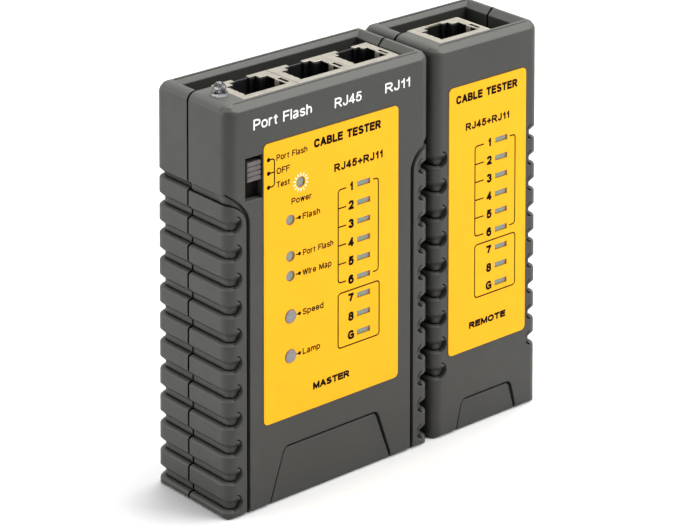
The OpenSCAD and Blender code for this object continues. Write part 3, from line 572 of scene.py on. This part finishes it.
# Plain upright letters drawn as strokes: (width, [stroke, ...]) with x from 0 to 1 across the letter and z from 0 to 1 up a capital.
# A stroke that starts with "~" is a smooth curve through its points, and "o" is a closed ring (centre x, z, half width, half height).
S_CURVE = [(0.95, 0.80), (0.80, 0.96), (0.50, 1.0), (0.18, 0.95), (0.03, 0.76), (0.16, 0.60), (0.50, 0.52), (0.86, 0.42), (1.0, 0.25), (0.84, 0.06), (0.50, 0.0), (0.15, 0.05), (0.0, 0.24)]
GLYPHS = {
    " ": (0.26, []),
    "A": (0.78, [[(0, 0), (0.47, 1)], [(1, 0), (0.53, 1)], [(0.17, 0.30), (0.83, 0.30)]]),
    "B": (0.70, [[(0, 0), (0, 1)], ["~", (0, 1), (0.55, 1), (0.86, 0.93), (0.92, 0.76), (0.84, 0.59), (0.55, 0.53), (0, 0.53)],
                 ["~", (0.50, 0.53), (0.86, 0.47), (1.0, 0.27), (0.90, 0.06), (0.55, 0), (0, 0)]]),
    "C": (0.78, [["~", (0.97, 0.70), (0.84, 0.92), (0.52, 1), (0.16, 0.90), (0, 0.50), (0.16, 0.10), (0.52, 0), (0.84, 0.08), (0.99, 0.32)]]),
    "E": (0.66, [[(1, 1), (0, 1), (0, 0), (1, 0)], [(0, 0.53), (0.92, 0.53)]]),
    "F": (0.62, [[(1, 1), (0, 1), (0, 0)], [(0, 0.50), (0.84, 0.50)]]),
    "G": (0.80, [["~", (0.94, 0.76), (0.80, 0.94), (0.50, 1), (0.14, 0.88), (0, 0.50), (0.14, 0.12), (0.52, 0), (0.84, 0.06), (1, 0.20)],
                 [(1, 0.12), (1, 0.47), (0.56, 0.47)]]),
    "J": (0.50, [[(1, 1), (1, 0.30)], ["~", (1, 0.36), (0.98, 0.20), (0.82, 0.03), (0.50, 0), (0.15, 0.06), (0, 0.32)]]),
    "L": (0.56, [[(0, 1), (0, 0), (1, 0)]]),
    "M": (0.86, [[(0, 0), (0, 1)], [(1, 0), (1, 1)], [(0.04, 1), (0.5, 0.06)], [(0.96, 1), (0.5, 0.06)]]),
    "O": (0.82, [["o", 0.5, 0.5, 0.5, 0.5]]),
    "P": (0.68, [[(0, 0), (0, 1)], ["~", (0, 1), (0.55, 1), (0.88, 0.92), (1, 0.72), (0.88, 0.51), (0.55, 0.44), (0, 0.44)]]),
    "R": (0.74, [[(0, 0), (0, 1)], ["~", (0, 1), (0.55, 1), (0.86, 0.93), (0.96, 0.74), (0.86, 0.55), (0.55, 0.48), (0, 0.48)], [(0.48, 0.48), (0.98, 0)]]),
    "S": (0.70, [["~"] + S_CURVE]),
    "T": (0.68, [[(0, 1), (1, 1)], [(0.5, 1), (0.5, 0)]]),
    "W": (1.06, [[(0, 1), (0.25, 0)], [(0.47, 1), (0.25, 0)], [(0.53, 1), (0.75, 0)], [(1, 1), (0.75, 0)]]),
    "1": (0.34, [[(1, 0), (1, 1)], ["~", (1, 1), (0.78, 0.84), (0.40, 0.74), (0, 0.70)]]),
    "2": (0.58, [["~", (0.03, 0.70), (0.15, 0.93), (0.50, 1), (0.86, 0.92), (0.97, 0.71), (0.80, 0.47), (0.38, 0.20), (0.04, 0)], [(0, 0), (1, 0)]]),
    "3": (0.58, [["~", (0.04, 0.76), (0.18, 0.95), (0.50, 1), (0.84, 0.92), (0.92, 0.74), (0.78, 0.57), (0.42, 0.53)],
                 ["~", (0.42, 0.53), (0.84, 0.48), (1, 0.27), (0.86, 0.06), (0.50, 0), (0.14, 0.07), (0, 0.28)]]),
    "4": (0.62, [[(0.74, 0), (0.74, 1)], [(0.74, 0.98), (0.02, 0.27)], [(0, 0.25), (1, 0.25)]]),
    "5": (0.58, [[(0.92, 1), (0.22, 1)], [(0.22, 1), (0.08, 0.48)], ["~", (0.08, 0.48), (0.30, 0.62), (0.55, 0.65), (0.88, 0.54), (1, 0.33), (0.86, 0.08), (0.50, 0), (0.15, 0.06), (0, 0.27)]]),
    "6": (0.58, [["~", (0.94, 0.78), (0.80, 0.95), (0.52, 1), (0.18, 0.88), (0.0, 0.50), (0.06, 0.18), (0.30, 0.02), (0.55, 0), (0.90, 0.10), (1, 0.33), (0.88, 0.55),
                  (0.54, 0.63), (0.18, 0.54), (0.03, 0.36)]]),
    "7": (0.56, [[(0, 1), (1, 1)], ["~", (1, 1), (0.66, 0.62), (0.42, 0.28), (0.34, 0)]]),
    "8": (0.58, [["o", 0.5, 0.77, 0.42, 0.23], ["o", 0.5, 0.27, 0.5, 0.27]]),
    "+": (0.58, [[(0, 0.42), (1, 0.42)], [(0.5, 0.12), (0.5, 0.72)]]),
    "a": (0.58, [["~", (0.08, 0.60), (0.24, 0.71), (0.50, 0.74), (0.80, 0.68), (0.88, 0.52), (0.88, 0.14), (1.0, 0.0)],
                 ["~", (0.86, 0.40), (0.50, 0.35), (0.12, 0.29), (0, 0.15), (0.14, 0.01), (0.42, -0.02), (0.72, 0.06), (0.86, 0.20)]]),
    "d": (0.58, [[(1, 0), (1, 1)], ["o", 0.5, 0.36, 0.5, 0.37]]),
    "e": (0.58, [["~", (0.98, 0.36), (0.92, 0.60), (0.52, 0.73), (0.12, 0.62), (0, 0.36), (0.12, 0.10), (0.50, 0), (0.84, 0.06), (0.97, 0.22)], [(0.02, 0.36), (0.98, 0.36)]]),
    "h": (0.52, [[(0, 0), (0, 1)], ["~", (0, 0.46), (0.20, 0.67), (0.50, 0.73), (0.84, 0.67), (1, 0.46), (1, 0.30), (1, 0)]]),
    "i": (0.0, [[(0, 0), (0, 0.73)], [(0, 0.88), (0, 1.02)]]),
    "l": (0.0, [[(0, 0), (0, 1)]]),
    "m": (0.86, [[(0, 0), (0, 0.73)], ["~", (0, 0.47), (0.12, 0.68), (0.27, 0.73), (0.44, 0.67), (0.5, 0.48), (0.5, 0.30), (0.5, 0)],
                 ["~", (0.5, 0.47), (0.62, 0.68), (0.77, 0.73), (0.94, 0.67), (1, 0.48), (1, 0.30), (1, 0)]]),
    "o": (0.60, [["o", 0.5, 0.36, 0.5, 0.37]]),
    "p": (0.58, [[(0, -0.28), (0, 0.73)], ["o", 0.5, 0.36, 0.5, 0.37]]),
    "r": (0.34, [[(0, 0), (0, 0.73)], ["~", (0, 0.44), (0.22, 0.66), (0.58, 0.74), (1, 0.70)]]),
    "s": (0.52, [["~"] + [(x, z * 0.73) for x, z in S_CURVE]]),
    "t": (0.32, [["~", (0.42, 0.98), (0.42, 0.60), (0.42, 0.16), (0.58, 0.01), (0.98, 0.01)], [(0, 0.70), (0.96, 0.70)]]),
    "w": (0.80, [[(0, 0.73), (0.25, 0)], [(0.47, 0.73), (0.25, 0)], [(0.53, 0.73), (0.75, 0)], [(1, 0.73), (0.75, 0)]]),
}


def smooth(points, steps=5):
    """A curve through points, with its ends kept."""
    p = [Vector(q) for q in points]
    p = [p[0] * 2 - p[1]] + p + [p[-1] * 2 - p[-2]]
    out = []
    for i in range(1, len(p) - 2):
        a, b, c, d = p[i - 1], p[i], p[i + 1], p[i + 2]
        for k in range(steps):
            t = k / steps
            out.append(tuple(0.5 * (2 * b + (c - a) * t + (2 * a - 5 * b + 4 * c - d) * t * t + (3 * b - a - 3 * c + d) * t ** 3)))
    out.append(tuple(p[-2]))
    return out


def words(name, text, x0, x1, base, cap, y, material, body, weight=0.13, gap=0.17):
    """Text filling x0..x1 mm on the front, capitals cap mm tall above the line at base mm, as thin closed strokes."""
    total = 0.0
    places = []
    for c in text:
        w, strokes = GLYPHS[c]
        w += weight
        places.append((total, w, strokes))
        total += w + gap
    total -= gap
    sx = (x1 - x0) * MM / total
    sz = cap * MM
    a, b = at(x0, base)
    parts = []
    k = 0
    for start, w, strokes in places:
        for s in strokes:
            closed = s[0] == "o"
            if closed:
                _, cx, cz, rx, rz = s
                pts = [(cx + rx * math.cos(q) * (1 + 0.05 * math.sin(2 * q) ** 2), cz + rz * math.sin(q) * (1 + 0.05 * math.sin(2 * q) ** 2))
                       for q in (2 * math.pi * i / 28 for i in range(28))]
            elif s[0] == "~":
                pts = smooth(s[1:])
            else:
                pts = s
            path = [(a + (start + weight / 2 + x * (w - weight)) * sx, b + (weight / 2 + z * (1 - weight)) * sz) for x, z in pts]
            if not closed and s[0] != "~":
                d0, d1 = Vector(path[0]) - Vector(path[1]), Vector(path[-1]) - Vector(path[-2])
                e = weight / 2 * min(sx, sz)
                path[0] = tuple(Vector(path[0]) + d0.normalized() * e)
                path[-1] = tuple(Vector(path[-1]) + d1.normalized() * e)
            k += 1
            parts.append(line(path, weight * (sx + sz) / 2, y, closed=closed, half=INK * (1 + 0.03 * (k % 7))))
    v, f = join(parts)
    return piece(name, v, f, material, body)


BOLD = 0.25
MED = 0.20

# words on the case
for n, t, xa, xb, base, cap in (("case_word_flash", "Port Flash", 7.4, 24.4, 90.3, 2.5), ("case_word_network", "RJ45", 31.2, 39.3, 89.9, 2.35),
                                ("case_word_phone", "RJ11", 46.5, 54.2, 89.9, 2.35)):
    words(n, t, xa, xb, base, cap, FACE_Y, WHITE_MAT, "master", 0.17, 0.11)

# words on the labels
words("title_master", "CABLE TESTER", 24.9, 45.0, 81.9, 2.2, PRINT_Y, INK_MAT, "master", 0.30, 0.12)
words("title_remote", "CABLE TESTER", 68.7, 88.6, 81.9, 2.2, PRINT_Y, INK_MAT, "remote", 0.30, 0.12)
words("sockets_master", "RJ45+RJ11", 30.9, 45.6, 74.7, 1.95, PRINT_Y, INK_MAT, "master", BOLD, 0.12)
words("sockets_remote", "RJ45+RJ11", 71.8, 86.0, 74.7, 1.9, PRINT_Y, INK_MAT, "remote", BOLD, 0.12)
words("name_master", "MASTER", 24.6, 35.5, 24.1, 1.7, PRINT_Y, INK_MAT, "master", 0.29, 0.05)
words("name_remote", "REMOTE", 73.1, 85.1, 24.8, 1.65, PRINT_Y, INK_MAT, "remote", 0.29, 0.05)
for n, t, xa, xb, base, cap in (("switch_flash", "Port Flash", 13.9, 22.9, 81.6, 1.5), ("switch_off", "OFF", 13.9, 17.8, 78.4, 1.5),
                                ("switch_test", "Test", 13.9, 17.8, 75.2, 1.5), ("mark_power", "Power", 18.25, 24.25, 70.2, 1.5),
                                ("mark_flash", "Flash", 21.5, 26.7, 65.9, 1.5), ("mark_port", "Port Flash", 21.6, 30.6, 57.2, 1.5),
                                ("mark_map", "Wire Map", 21.5, 30.1, 52.4, 1.5), ("mark_speed", "Speed", 21.5, 27.7, 43.0, 1.5),
                                ("mark_lamp", "Lamp", 21.5, 26.7, 33.5, 1.5)):
    words(n, t, xa, xb, base, cap, PRINT_Y, INK_MAT, "master", MED, 0.12)

# line numbers
NARROW = {"1": 0.62}
for body, cx in (("master", 36.0), ("remote", 79.5)):
    for k, t in enumerate("12345678G"):
        w = 1.62 * NARROW.get(t, 1.0) * (1.15 if t == "G" else 1.0)
        words(f"{body}_number_{t}", t, cx - w / 2, cx + w / 2, 70.1 - 4.5 * k - 1.15, 2.3, PRINT_Y, INK_MAT, body, 0.29)


def bracket(body, xl, xt, xr, xh, box):
    rows = [70.1 - 4.5 * k for k in range(6)]
    top, low = rows[0], rows[-1]
    w = 0.34 * MM
    parts = [line(rounded([at(xt, top), at(xl, top), at(xl, low), at(xt, low)], 0.9 * MM), w, PRINT_Y)]
    for z in rows[1:-1]:
        parts.append(line([at(xl + 0.1, z), at(xt, z)], w, PRINT_Y, half=INK * 0.8))
    parts.append(line(rounded([at(xh, top), at(xr, top), at(xr, low), at(xh, low)], 0.9 * MM), w, PRINT_Y))
    x0, z0 = at(box[0], box[1])
    x1, z1 = at(box[2], box[3])
    parts.append(line(rounded_loop(x0, z0, x1, z1, 0.8 * MM), w, PRINT_Y, closed=True))
    v, f = join(parts)
    piece(body + "_line_brackets", v, f, LINE_MAT, body)


bracket("master", 32.1, 34.5, 44.3, 42.7, (32.1, 31.75, 44.6, 45.0))
bracket("remote", 74.85, 77.7, 88.0, 86.2, (74.9, 32.1, 88.1, 45.35))

# switch legend: three dots joined by a bracket
parts = [line(rounded([at(11.6, 82.4), at(13.3, 82.4), at(13.3, 75.9), at(11.6, 75.9)], 0.8 * MM), 0.33 * MM, PRINT_Y),
         line([at(11.6, 79.2), at(13.25, 79.2)], 0.33 * MM, PRINT_Y, half=INK * 0.8)]
for z in (82.4, 79.2, 75.9):
    x, zz = at(11.6, z)
    parts.append(slab(disc(x, zz, 0.50 * MM), PRINT_Y, INK * 1.2))
v, f = join(parts)
piece("switch_legend", v, f, INK_MAT, "master")

# leader of each round indicator and button
parts = []
for z in (66.6, 57.95, 53.25, 43.65, 34.15):
    parts.append(line([at(19.45, z), at(21.0, z)], 0.28 * MM, PRINT_Y))
    x, zz = at(20.6, z)
    parts.append(slab(disc(x, zz, 0.44 * MM), PRINT_Y, INK * 1.2))
v, f = join(parts)
piece("indicator_leaders", v, f, INK_MAT, "master")

# rays round the power indicator
cx, cz = at(*ROUND[0])
parts = []
for k in range(14):
    a = 2 * math.pi * (k + 0.5) / 14
    d, s = Vector((math.cos(a), math.sin(a))), Vector((-math.sin(a), math.cos(a)))
    c = Vector((cx, cz))
    loop = [c + d * 1.5 * MM - s * 0.20 * MM, c + d * 1.9 * MM - s * 0.17 * MM, c + d * 2.32 * MM - s * 0.06 * MM,
            c + d * 2.32 * MM + s * 0.06 * MM, c + d * 1.9 * MM + s * 0.17 * MM, c + d * 1.5 * MM + s * 0.20 * MM]
    parts.append(slab([tuple(p) for p in loop], PRINT_Y))
v, f = join(parts)
piece("power_rays", v, f, RAY_MAT, "master")


# ---------------------------------------------------------------- inside the clear lamp
def revolve(profile, cx, cy, n=24):
    """A closed solid of revolution about Z: profile is (radius, z) in mm from the bottom, its ends on the axis."""
    v, f = [], []
    idx = []
    for r, z in profile:
        if r == 0:
            idx.append([len(v)])
            v.append((cx, cy, z * MM))
        else:
            idx.append([len(v) + i for i in range(n)])
            v += [(cx + r * MM * math.cos(2 * math.pi * i / n), cy + r * MM * math.sin(2 * math.pi * i / n), z * MM) for i in range(n)]
    for a, b in zip(idx, idx[1:]):
        for i in range(n):
            j = (i + 1) % n
            if len(a) == 1:
                f.append((a[0], b[j], b[i]))
            elif len(b) == 1:
                f.append((a[i], a[j], b[0]))
            else:
                f.append((a[i], a[j], b[j], b[i]))
    return v, f


led_lo, led_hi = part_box("lamp_led")
lx, ly = (led_lo.x + led_hi.x) / 2, (led_lo.y + led_hi.y) / 2
cup = revolve([(0, 97.6), (0.40, 97.6), (0.44, 98.1), (0.70, 98.40), (0.76, 98.66), (0.70, 98.70), (0.34, 98.44), (0, 98.42)], lx - 0.40 * MM, ly)
post = revolve([(0, 97.6), (0.22, 97.6), (0.22, 98.4), (0.30, 98.5), (0.30, 98.74), (0.18, 98.80), (0, 98.80)], lx + 0.80 * MM, ly, 16)
v, f = join([cup, post])
piece("lamp_leadframe", v, f, STEEL_MAT, "master", True)


# ---------------------------------------------------------------- floor, light, camera
def studio():
    m = Mat("floor_look")
    a = m.noise(3.0, 3.0)
    m.surface(m.ramp(a, (0.3, (0.90, 0.90, 0.90)), (0.7, (0.93, 0.93, 0.93))), m.span(a, 0.3, 0.7, 0.80, 0.95), m.bump(m.noise(900, 2.0), 0.03, 0.0001),
              Specular_IOR_Level=0.1)
    me = bpy.data.meshes.new("floor")
    s, z = 12.0, -0.00005
    me.from_pydata([(-s, -s, z), (s, -s, z), (s, s, z), (-s, s, z)], [], [(0, 1, 2, 3)])
    me.materials.append(m.m)
    o = bpy.data.objects.new("floor", me)
    bpy.context.scene.collection.objects.link(o)
    w = bpy.data.worlds.new("studio")
    bpy.context.scene.world = w
    w.use_nodes = True
    t = w.node_tree
    bg = t.nodes["Background"]
    co = t.nodes.new("ShaderNodeTexCoord")
    sep = t.nodes.new("ShaderNodeSeparateXYZ")
    ramp = t.nodes.new("ShaderNodeValToRGB")
    t.links.new(co.outputs["Generated"], sep.inputs[0])
    t.links.new(sep.outputs["Z"], ramp.inputs["Fac"])
    t.links.new(ramp.outputs["Color"], bg.inputs["Color"])
    e = ramp.color_ramp.elements
    e[0].position, e[0].color = 0.0, (0.86, 0.86, 0.86, 1)
    e[1].position, e[1].color = 0.7, (1.0, 1.0, 1.0, 1)
    # the room is darker round the camera, and even for anything the camera sees directly
    dot = t.nodes.new("ShaderNodeVectorMath")
    dot.operation = "DOT_PRODUCT"
    dot.inputs[1].default_value = (-0.64, -0.76, 0.10)
    t.links.new(co.outputs["Generated"], dot.inputs[0])
    dim = t.nodes.new("ShaderNodeMapRange")
    dim.interpolation_type = "SMOOTHSTEP"
    for k, q in zip(range(1, 5), (0.30, 0.90, 0.92, 0.10)):
        dim.inputs[k].default_value = q
    t.links.new(dot.outputs["Value"], dim.inputs[0])
    path = t.nodes.new("ShaderNodeLightPath")
    pick = t.nodes.new("ShaderNodeMix")
    t.links.new(path.outputs["Is Camera Ray"], pick.inputs[0])
    t.links.new(dim.outputs[0], pick.inputs[2])
    pick.inputs[3].default_value = 1.0
    t.links.new(pick.outputs[0], bg.inputs["Strength"])


def area(name, where, aim, size, power, tone=(1, 1, 1)):
    d = bpy.data.lights.new(name, "AREA")
    d.shape = "RECTANGLE"
    d.size, d.size_y = size
    d.energy = power
    d.color = tone
    o = bpy.data.objects.new(name, d)
    o.location = where
    o.rotation_mode = "QUATERNION"
    o.rotation_quaternion = (Vector(aim) - Vector(where)).to_track_quat("-Z", "Y")
    bpy.context.scene.collection.objects.link(o)


studio()
area("key_left", (-0.90, 0.50, 0.20), (0, 0, 0.05), (0.7, 0.36), 4.1)
area("overhead", (0.35, 0.05, 1.25), (0, 0, 0.09), (1.0, 0.8), 14.0)
area("top_front", (0.75, -0.80, 0.95), (0, 0, 0.09), (0.7, 0.5), 8.6)
area("front_low", (0.7, -1.1, 0.14), (0, 0, 0.05), (0.9, 0.26), 2.0)

AZ, PITCH_DOWN, ROLL, FOCAL = 0.750981, 0.0915917, 0.00698803, 3125.752
HOME = Vector((-0.464263, -0.563439, 0.339609))
fwd = Vector((math.sin(AZ) * math.cos(PITCH_DOWN), math.cos(AZ) * math.cos(PITCH_DOWN), -math.sin(PITCH_DOWN)))
right = Vector((math.cos(AZ), -math.sin(AZ), 0))
up = right.cross(fwd)
r2 = right * math.cos(ROLL) + up * math.sin(ROLL)
u2 = -right * math.sin(ROLL) + up * math.cos(ROLL)
cd = bpy.data.cameras.new("camera")
cam = bpy.data.objects.new("camera", cd)
bpy.context.scene.collection.objects.link(cam)
cd.sensor_width = 36.0
cd.sensor_fit = "HORIZONTAL"
cd.lens = FOCAL * 36.0 / 700.0
cd.clip_start, cd.clip_end = 0.05, 50.0
m3 = Matrix((r2, u2, -fwd)).transposed()
cam.matrix_world = Matrix.Translation(HOME) @ m3.to_4x4()
bpy.context.scene.camera = cam
SHIFT = {"shift_x": (350 - 546.818) / 700, "shift_y": (-681.295 - 265) / 700}
for prop, value in SHIFT.items():
    d = cd.driver_add(prop).driver
    d.type = "SCRIPTED"
    for n, k in (("x", "LOC_X"), ("y", "LOC_Y"), ("z", "LOC_Z")):
        var = d.variables.new()
        var.name, var.type = n, "TRANSFORMS"
        var.targets[0].id = cam
        var.targets[0].transform_type = k
        var.targets[0].transform_space = "WORLD_SPACE"
    d.expression = f"{value:.6f} if abs(x - ({HOME.x:.6f})) + abs(y - ({HOME.y:.6f})) + abs(z - ({HOME.z:.6f})) < 0.001 else 0.0"

bpy.context.scene.view_settings.view_transform = "Standard"
bpy.context.scene.view_settings.look = "None"
